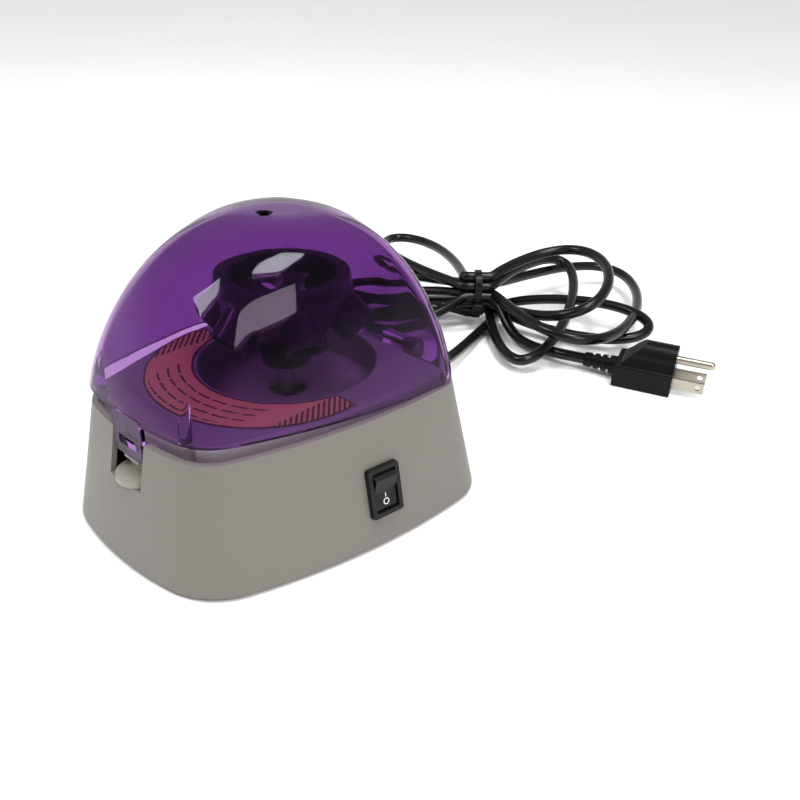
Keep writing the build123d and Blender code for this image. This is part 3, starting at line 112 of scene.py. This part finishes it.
# The hank's turns in order: from strand, to strand, heading in degrees, reach,
# width, lean to the side, height at the far end, rise of the outgoing side
TURNS = [
    (None, "b", 20, 102, 36, -2, 13, 6),
    ("b", "e", 214, 74, 44, 0, 6, 0),
    ("e", "g", 26, 96, -191, 28, 14, 4),
    ("g", "c", 206, 80, -46, 0, 16, 0),
    ("c", "h", 33, 74, -105, -14, 44, -6),
    ("h", "f", 158, 108, -46, 0, 24, 0),
    ("f", "a", 24, 52, 176, 4, 16, 8),
    ("a", "d", 232, 64, -44, 0, 5, 0),
]
TURN_POINTS = 13
FIRST_TURN = Vector((-0.0380, 0.2400, 0.0042))
TIE_NEAR = 3     # millimetres along a strand from the tie's middle
TIE_FAR = 9
TAIL_FAR = 12


def strand(name, way, reach):
    """A point on a strand, to the right of the tie if way is 1 and to its left if -1."""
    across, height = STRANDS[name]
    upright = Vector((0, 0, height * MM))
    return TIE_SPOT + ACROSS * across * MM + ALONG * way * reach * MM + upright


def turn_points(start, end, heading, reach, width, lean, far_z, rise):
    """One loose turn: out from start along heading, round, and back to end."""
    forward = Vector((cos(radians(heading)), sin(radians(heading)), 0))
    side = Vector((-forward.y, forward.x, 0))
    points = []
    for index in range(1, TURN_POINTS):
        share = index / TURN_POINTS
        angle = 2 * pi * share
        swell = sin(angle / 2) ** 2
        point = start.lerp(end, share)
        height = point.z + (far_z * MM - point.z) * swell + rise * MM * sin(angle)
        bow = width / 2 * sin(angle) * sin(angle / 2) + lean * swell
        point += forward * reach * MM * swell + side * bow * MM
        point.z = max(height, 0.55 * CORD_DIAMETER)
        points.append(point)
    return points


def cord_points():
    points = [Vector(point) for point in LEAD_ROUTE]
    way = 1
    for start_name, end_name, *shape in TURNS:
        if start_name is None:
            start = FIRST_TURN
        else:
            start = strand(start_name, way, TIE_FAR)
            points.append(strand(start_name, way, TIE_NEAR))
        end = strand(end_name, way, TIE_FAR)
        points += [start, *turn_points(start, end, *shape), end, strand(end_name, way, TIE_NEAR)]
        way = -way
    points += [strand("d", 1, TIE_NEAR), strand("d", 1, TAIL_FAR)]
    return points + [Vector(point) for point in TAIL_ROUTE]


def make_cord():
    line = cord_points()
    curve = bpy.data.curves.new("mains_cord", "CURVE")
    curve.dimensions = "3D"
    spline = curve.splines.new("NURBS")
    spline.points.add(len(line) - 1)
    for spot, point in zip(spline.points, line):
        spot.co = (*point, 1.0)
        spot.radius = CORD_DIAMETER / 2    # a curve's box grows by this on every side
    spline.order_u = 3
    spline.use_endpoint_u = True
    spline.resolution_u = 8
    curve.bevel_depth = 1.0    # times each point's radius
    curve.bevel_resolution = 6
    cord = collect(bpy.data.objects.new("mains_cord", curve))
    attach(cord, "base")
    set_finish(cord, "cord_rubber")
    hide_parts("cord_lead", "cord_hank", "cord_tail")
    return cord


mains_cord = make_cord()


# ---------------------------------------------------------------- mesh helpers
def mesh_piece(name, bm, body, slot, smooth=40):
    """An object made from bm, shaded smooth up to an angle in degrees."""
    bmesh.ops.recalc_face_normals(bm, faces=bm.faces)
    mesh = bpy.data.meshes.new(name)
    bm.to_mesh(mesh)
    bm.free()
    mesh.shade_smooth()
    obj = collect(bpy.data.objects.new(name, mesh))
    obj.data.set_sharp_from_angle(angle=radians(smooth))
    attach(obj, body)
    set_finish(obj, slot)
    return obj


def swept_strip(bm, path, sides, widths, thick):
    """A closed flat strip along path; sides gives its width direction at each point."""
    rings = []
    for index, point in enumerate(path):
        before = path[max(index - 1, 0)]
        after = path[min(index + 1, len(path) - 1)]
        tangent = (after - before).normalized()
        side = sides[index].normalized()
        up = side.cross(tangent).normalized()
        half = widths[index] / 2
        corners = [(-half, 0), (-half * 0.9, thick), (half * 0.9, thick), (half, 0)]
        rings.append([bm.verts.new(point + side * x + up * z) for x, z in corners])
    for low, high in zip(rings, rings[1:]):
        for index in range(4):
            other = (index + 1) % 4
            bm.faces.new((low[index], low[other], high[other], high[index]))
    bm.faces.new(rings[0])
    bm.faces.new(reversed(rings[-1]))


# ---------------------------------------------------------------- cable tie
TIE_HALF = (8.5 * MM, 14.5 * MM)      # half the bundle, across and up
TIE_MID = Vector((0, 0, 20.8 * MM))
TIE_CORNER = 7.0 * MM
TIE_STEPS = 12                        # points around each corner
STRAP_WIDTH = 4.6 * MM
STRAP_THICK = 1.2 * MM
HEAD_SIZE = (7.0 * MM, 5.0 * MM, 7.0 * MM)
HEAD_OUT = 11.0 * MM                  # from the bundle's middle to the head's
HEAD_DROP = 6.0 * MM


def strap_ring():
    """The strap's line round the bundle, with its first two points again at the end."""
    ring = []
    for quarter in range(4):
        middle = quarter * pi / 2 + pi / 4
        sign_across = 1 if cos(middle) > 0 else -1
        sign_up = 1 if sin(middle) > 0 else -1
        for step in range(TIE_STEPS):
            angle = quarter * pi / 2 + pi / 2 * step / (TIE_STEPS - 1)
            across = sign_across * (TIE_HALF[0] - TIE_CORNER) + TIE_CORNER * cos(angle)
            up = sign_up * (TIE_HALF[1] - TIE_CORNER) + TIE_CORNER * sin(angle)
            ring.append(TIE_SPOT + TIE_MID + ACROSS * across + Vector((0, 0, up)))
    return [*ring, ring[0], ring[1]]


def add_tie_head(bm, spot):
    turn = Matrix((ALONG, ACROSS, Vector((0, 0, 1)))).transposed().to_4x4()
    place = Matrix.Translation(spot) @ turn @ Matrix.Diagonal((*HEAD_SIZE, 1))
    head = bmesh.ops.create_cube(bm, size=1.0, matrix=place)
    edges = {edge for vert in head["verts"] for edge in vert.link_edges}
    bmesh.ops.bevel(
        bm, geom=list(edges), offset=0.9 * MM, segments=3, affect="EDGES", profile=0.6
    )


def tie_tail(start):
    """The strap's free end: away from the head, along the bundle, and up, in millimetres."""
    steps = [(0, 0, 2.0), (0.6, 0, -1.0), (3.0, 8, 1.0), (4.5, 18, 4.5), (4.5, 28, 8.5)]
    line = []
    for out, back, up in steps:
        line.append(start - ACROSS * out * MM - ALONG * back * MM + Vector((0, 0, up * MM)))
    return line


def make_tie():
    bm = bmesh.new()
    ring = strap_ring()
    swept_strip(bm, ring, [ALONG] * len(ring), [STRAP_WIDTH] * len(ring), -STRAP_THICK)
    head_at = TIE_SPOT + TIE_MID - ACROSS * HEAD_OUT - Vector((0, 0, HEAD_DROP))
    add_tie_head(bm, head_at)
    tail = tie_tail(head_at - Vector((0, 0, 3.0 * MM)))
    widths = [3.6 * MM] * 4 + [2.4 * MM]
    swept_strip(bm, tail, [Vector((0, 0, 1))] * len(tail), widths, 1.0 * MM)
    tie = mesh_piece("tie_strap", bm, "base", "tie_plastic")
    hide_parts("cable_tie")
    return tie


tie = make_tie()


# ---------------------------------------------------------------- materials
# Sockets of a Mix node set to colours
COLOR_A = 6
COLOR_B = 7
COLOR_RESULT = 2


class Look:
    """A node-based material under construction."""

    def __init__(self, name):
        self.material = bpy.data.materials.new(name)
        self.material.use_nodes = True
        self.tree = self.material.node_tree
        self.shader = self.tree.nodes["Principled BSDF"]
        self.output = self.tree.nodes["Material Output"]
        self.place = self.node("ShaderNodeTexCoord").outputs["Object"]

    def node(self, kind, **values):
        made = self.tree.nodes.new(kind)
        for key, value in values.items():
            setattr(made, key, value)
        return made

    def link(self, out, into):
        self.tree.links.new(out, into)

    def noise(self, scale, detail=3.0, rough=0.5, stretch=None):
        texture = self.node("ShaderNodeTexNoise")
        texture.inputs["Scale"].default_value = scale
        texture.inputs["Detail"].default_value = detail
        texture.inputs["Roughness"].default_value = rough
        place = self.place
        if stretch is not None:
            mapping = self.node("ShaderNodeMapping")
            mapping.inputs["Scale"].default_value = stretch
            self.link(place, mapping.inputs["Vector"])
            place = mapping.outputs["Vector"]
        self.link(place, texture.inputs["Vector"])
        return texture.outputs["Fac"]

    def ramp(self, fac, stops):
        made = self.node("ShaderNodeValToRGB")
        elements = made.color_ramp.elements
        while len(elements) < len(stops):
            elements.new(0.5)
        for element, (spot, color) in zip(elements, stops):
            element.position = spot
            element.color = (*color, 1.0)
        self.link(fac, made.inputs["Fac"])
        return made.outputs["Color"]

    def spread(self, fac, low, high):
        made = self.node("ShaderNodeMapRange")
        made.inputs["To Min"].default_value = low
        made.inputs["To Max"].default_value = high
        self.link(fac, made.inputs["Value"])
        return made.outputs["Result"]

    def math(self, operation, *values):
        made = self.node("ShaderNodeMath", operation=operation)
        for socket, value in zip(made.inputs, values):
            if isinstance(value, (int, float)):
                socket.default_value = value
            else:
                self.link(value, socket)
        return made.outputs["Value"]

    def bump(self, height, depth, strength=1.0):
        made = self.node("ShaderNodeBump")
        made.inputs["Distance"].default_value = depth
        made.inputs["Strength"].default_value = strength
        self.link(height, made.inputs["Height"])
        self.link(made.outputs["Normal"], self.shader.inputs["Normal"])

    def color_around(self, color, share, scale):
        """Base colour that drifts by a share of itself."""
        dark = tuple(value * (1 - share) for value in color)
        light = tuple(min(1.0, value * (1 + share)) for value in color)
        drift = self.ramp(self.noise(scale), [(0.3, dark), (0.7, light)])
        self.link(drift, self.shader.inputs["Base Color"])

    def root_of_squares(self, first, second):
        """Distance from the two offsets, as a socket."""
        squares = self.math(
            "ADD", self.math("MULTIPLY", first, first), self.math("MULTIPLY", second, second)
        )
        return self.math("SQRT", squares)

    def two_colors(self, fac, plain, marked):
        """Base colour that is marked where fac is 1, and plain where it is 0."""
        mix = self.node("ShaderNodeMix", data_type="RGBA")
        self.link(fac, mix.inputs["Factor"])
        mix.inputs[COLOR_A].default_value = (*plain, 1)
        mix.inputs[COLOR_B].default_value = (*marked, 1)
        self.link(mix.outputs[COLOR_RESULT], self.shader.inputs["Base Color"])


def plastic(name, color, rough, grain=2600.0, depth=0.00003, share=0.03, coat=0.0, shine=0.5):
    look = Look(name)
    look.shader.inputs["Specular IOR Level"].default_value = shine
    look.color_around(color, share, 18.0)
    smudges = look.noise(60.0, 4.0)
    look.link(look.spread(smudges, rough - 0.05, rough + 0.06), look.shader.inputs["Roughness"])
    look.bump(look.noise(grain, 2.0), depth, 0.6)
    look.shader.inputs["Coat Weight"].default_value = coat
    look.shader.inputs["Coat Roughness"].default_value = 0.2
    return look.material


def metal(name, color, rough, grain=(1.0, 1.0, 1.0)):
    look = Look(name)
    look.color_around(color, 0.06, 90.0)
    look.shader.inputs["Metallic"].default_value = 1.0
    lines = look.noise(900.0, 3.0, 0.6, grain)
    look.link(look.spread(lines, rough - 0.07, rough + 0.1), look.shader.inputs["Roughness"])
    look.bump(lines, 0.00002, 0.4)
    return look.material


def lid_glass():
    """Clear tinted plastic that lets the lamps' light through to what it covers."""
    look = Look("lid_plastic")
    shader = look.shader
    shader.inputs["Base Color"].default_value = (0.31, 0.145, 0.40, 1.0)
    shader.inputs["Transmission Weight"].default_value = 1.0
    shader.inputs["IOR"].default_value = 1.22
    shader.inputs["Roughness"].default_value = 0.02
    look.bump(look.noise(14.0, 2.0), 0.0004, 0.12)
    clear = look.node("ShaderNodeBsdfTransparent")
    clear.inputs["Color"].default_value = (0.70, 0.60, 0.74, 1.0)
    mix = look.node("ShaderNodeMixShader")
    path = look.node("ShaderNodeLightPath")
    look.link(path.outputs["Is Shadow Ray"], mix.inputs["Fac"])
    look.link(shader.outputs["BSDF"], mix.inputs[1])
    look.link(clear.outputs["BSDF"], mix.inputs[2])
    look.link(mix.outputs["Shader"], look.output.inputs["Surface"])
    return look.material


ROTOR_Y = 17.0 * MM
LABEL_INNER = 41.8 * MM
LABEL_OUTER = 52.5 * MM
LABEL_SHIFT = 12.0 * MM
LABEL_END_Y = 9.0 * MM
RULE_PITCH = 4.6 * MM
DASH_PITCH = 9.0 * MM
HATCH_PITCH = 3.0 * MM


def label_film():
    """Orange film with a dark border, plain rules in place of words, and hatched ends."""
    look = Look("label_film")
    split = look.node("ShaderNodeSeparateXYZ")
    look.link(look.place, split.inputs["Vector"])
    x, y = split.outputs["X"], split.outputs["Y"]

    def distance(center_y):
        return look.root_of_squares(x, look.math("SUBTRACT", y, center_y))

    inner = look.math("SUBTRACT", distance(ROTOR_Y), LABEL_INNER)
    outer = look.math("SUBTRACT", LABEL_OUTER, distance(ROTOR_Y - LABEL_SHIFT))
    end = look.math("SUBTRACT", LABEL_END_Y, y)
    edge = look.math("MINIMUM", look.math("MINIMUM", inner, outer), end)
    border = look.math("LESS_THAN", edge, 0.9 * MM)
    # rules that follow the crescent, broken where x says so
    wave = look.math("SINE", look.math("MULTIPLY", inner, 2 * pi / RULE_PITCH))
    rule = look.math("GREATER_THAN", wave, 0.78)
    middle = look.math("LESS_THAN", look.math("ABSOLUTE", x), 30.0 * MM)
    clear = look.math("GREATER_THAN", edge, 2.2 * MM)
    dash_wave = look.math("SINE", look.math("MULTIPLY", x, 2 * pi / DASH_PITCH))
    dash = look.math("GREATER_THAN", dash_wave, -0.8)
    kept = look.math("MULTIPLY", clear, dash)
    rules = look.math("MULTIPLY", look.math("MULTIPLY", rule, middle), kept)
    # hatched ends
    slant = look.math("MULTIPLY", look.math("ADD", x, y), 2 * pi / HATCH_PITCH)
    stripe = look.math("GREATER_THAN", look.math("SINE", slant), 0.1)
    at_end = look.math("GREATER_THAN", look.math("ABSOLUTE", x), 41.0 * MM)
    hatch = look.math("MULTIPLY", stripe, at_end)
    marks = look.math("ADD", look.math("ADD", border, rules), hatch)
    look.two_colors(look.math("MINIMUM", marks, 1.0), (0.66, 0.36, 0.16), (0.05, 0.02, 0.02))
    look.link(look.spread(look.noise(200.0), 0.3, 0.42), look.shader.inputs["Roughness"])
    return look.material


# How far the rocker's two marks are below its pivot
RING_DROP = 4.36 * MM
BAR_DROP = 1.36 * MM
BAR_HALF = 0.9 * MM
RING_RADIUS = 1.3 * MM
LINE_HALF = 0.2 * MM


def rocker_plastic():
    """Black plastic with a white bar and ring, the usual marks for on and off."""
    look = Look("rocker_plastic")
    split = look.node("ShaderNodeSeparateXYZ")
    look.link(look.place, split.inputs["Vector"])
    x, y, z = split.outputs["X"], split.outputs["Y"], split.outputs["Z"]
    turn = Vector(joints["rocker_tilt"]["axis"])
    pivot = Vector(joints["rocker_tilt"]["pos_m"])
    along_x = look.math("MULTIPLY", look.math("SUBTRACT", x, pivot.x), -turn.x)
    along_y = look.math("MULTIPLY", look.math("SUBTRACT", y, pivot.y), -turn.y)
    across = look.math("ADD", along_x, along_y)
    reach = look.root_of_squares(across, look.math("SUBTRACT", z, pivot.z - RING_DROP))
    off_ring = look.math("ABSOLUTE", look.math("SUBTRACT", reach, RING_RADIUS))
    ring = look.math("LESS_THAN", off_ring, LINE_HALF)
    bar_side = look.math("LESS_THAN", look.math("ABSOLUTE", across), LINE_HALF)
    from_bar = look.math("ABSOLUTE", look.math("SUBTRACT", z, pivot.z - BAR_DROP))
    bar_end = look.math("LESS_THAN", from_bar, BAR_HALF)
    marks = look.math("MAXIMUM", ring, look.math("MULTIPLY", bar_side, bar_end))
    # not on the rocker's hidden back
    front = look.math("GREATER_THAN", x, pivot.x)
    look.two_colors(look.math("MULTIPLY", marks, front), (0.006,) * 3, (0.75,) * 3)
    look.shader.inputs["Specular IOR Level"].default_value = 0.2
    look.link(look.spread(look.noise(60.0), 0.26, 0.38), look.shader.inputs["Roughness"])
    return look.material


HOUSING = (0.150, 0.139, 0.122)
# Each plain slot: its colour, and what sets its finish apart
PLASTICS = {
    "housing_plastic": (HOUSING, dict(rough=0.46)),
    "deck_plastic": ((0.25, 0.235, 0.235), dict(rough=0.45)),
    "plate_plastic": ((0.17, 0.16, 0.145), dict(rough=0.55)),
    "tab_plastic": ((0.235, 0.235, 0.185), dict(rough=0.4)),
    "rotor_plastic": (
        (0.018, 0.014, 0.022),
        dict(rough=0.14, grain=900.0, depth=1e-05, share=0.2, coat=0.3, shine=0.35),
    ),
    "switch_plastic": (
        (0.006, 0.006, 0.006),
        dict(rough=0.3, grain=3000.0, depth=2e-05, share=0.1, shine=0.2),
    ),
    "foot_rubber": (
        (0.02, 0.02, 0.02),
        dict(rough=0.75, grain=1500.0, depth=6e-05, share=0.15, shine=0.2),
    ),
    "bumper_rubber": ((0.16, 0.15, 0.16), dict(rough=0.6, grain=1500.0, depth=4e-05, share=0.1)),
    "cord_rubber": (
        (0.003, 0.0035, 0.003),
        dict(rough=0.26, grain=700.0, depth=2e-05, share=0.2, shine=0.3),
    ),
    "plug_plastic": (
        (0.0035, 0.004, 0.004),
        dict(rough=0.32, grain=2500.0, depth=3e-05, share=0.15, shine=0.12),
    ),
    "tie_plastic": (
        (0.003, 0.003, 0.003),
        dict(rough=0.34, grain=800.0, depth=2e-05, share=0.15, shine=0.2),
    ),
    "board_laminate": ((0.02, 0.14, 0.05), dict(rough=0.36, grain=300.0, depth=4e-05, share=0.2)),
    "component_black": ((0.02, 0.02, 0.02), dict(rough=0.5, shine=0.2)),
    "capacitor_sleeve": ((0.02, 0.03, 0.14), dict(rough=0.3)),
    "terminal_green": ((0.03, 0.26, 0.08), dict(rough=0.4)),
}
METALS = {
    "nickel": ((0.42, 0.385, 0.32), dict(rough=0.3, grain=(1.0, 1.0, 12.0))),
    "steel": ((0.52, 0.52, 0.52), dict(rough=0.34, grain=(1.0, 1.0, 14.0))),
    "zinc": ((0.6, 0.6, 0.58), dict(rough=0.42)),
    "brass": ((0.66, 0.47, 0.2), dict(rough=0.34)),
}
looks = {"lid_plastic": lid_glass(), "label_film": label_film()}
for name, (color, finish) in PLASTICS.items():
    looks[name] = plastic(name, color, **finish)
for name, (color, finish) in METALS.items():
    looks[name] = metal(name, color, **finish)

slot_of = {part["node"]: part["material_slot"] for part in record["subparts"]}
for name, obj in nodes.items():
    obj.data.materials.clear()
    obj.data.materials.append(looks[slot_of[name]])
    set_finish(obj, slot_of[name])
nodes["switch_rocker"].data.materials[0] = rocker_plastic()
for piece in (mains_cord, tie):
    piece.data.materials.append(looks[piece["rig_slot"]])


# ---------------------------------------------------------------- floor and lights
FLOOR_REACH = 6.0


def make_floor():
    corners = [(x * FLOOR_REACH, y * FLOOR_REACH, 0) for x, y in ((-1, -1), (1, -1), (1, 1), (-1, 1))]
    mesh = bpy.data.meshes.new("floor")
    mesh.from_pydata(corners, [], [(0, 1, 2, 3)])
    floor = collect(bpy.data.objects.new("floor", mesh))
    paper = Look("floor_paper")
    paper.color_around((0.86, 0.86, 0.86), 0.01, 3.0)
    paper.shader.inputs["Roughness"].default_value = 0.7
    floor.data.materials.append(paper.material)


LAMP_TARGET = Vector((0.0, 0.02, 0.08))


def lamp(name, way, distance, size, energy, color):
    """A soft box that faces the target from way."""
    data = bpy.data.lights.new(name, "AREA")
    data.shape = "RECTANGLE"
    data.size, data.size_y = size
    data.energy = energy
    data.color = color
    obj = collect(bpy.data.objects.new(name, data))
    direction = Vector(way).normalized()
    obj.location = LAMP_TARGET + direction * distance
    obj.rotation_euler = direction.to_track_quat("Z", "Y").to_euler()


def make_fill():
    """Broad light that no glossy surface mirrors."""
    data = bpy.data.lights.new("fill", "SUN")
    data.energy = 1.7
    data.angle = radians(90.0)
    fill = collect(bpy.data.objects.new("fill", data))
    fill.visible_glossy = False
    fill.visible_transmission = False


def make_world():
    """A white room that is dimmer overhead."""
    world = bpy.data.worlds.new("studio")
    world.use_nodes = True
    tree = world.node_tree
    place = tree.nodes.new("ShaderNodeTexCoord")
    split = tree.nodes.new("ShaderNodeSeparateXYZ")
    ramp = tree.nodes.new("ShaderNodeValToRGB")
    low, high = ramp.color_ramp.elements
    low.position = 0.10
    low.color = (1.0, 1.0, 1.0, 1.0)
    high.position = 0.35
    high.color = (0.33, 0.33, 0.33, 1.0)
    tree.links.new(place.outputs["Generated"], split.inputs["Vector"])
    tree.links.new(split.outputs["Z"], ramp.inputs["Fac"])
    tree.links.new(ramp.outputs["Color"], tree.nodes["Background"].inputs["Color"])
    bpy.context.scene.world = world


make_floor()
lamp("key", (0.20, 0.12, 0.97), 1.1, (0.34, 0.26), 7.0, (0.93, 1.0, 0.96))
lamp("side", (0.70, -0.16, 0.70), 1.3, (0.55, 0.45), 8.0, (1.0, 0.93, 0.98))
lamp("front", (-0.42, -0.50, 0.755), 1.3, (0.26, 0.42), 6.0, (0.97, 1.0, 0.98))
make_fill()
make_world()
bpy.context.scene.view_settings.view_transform = "Standard"
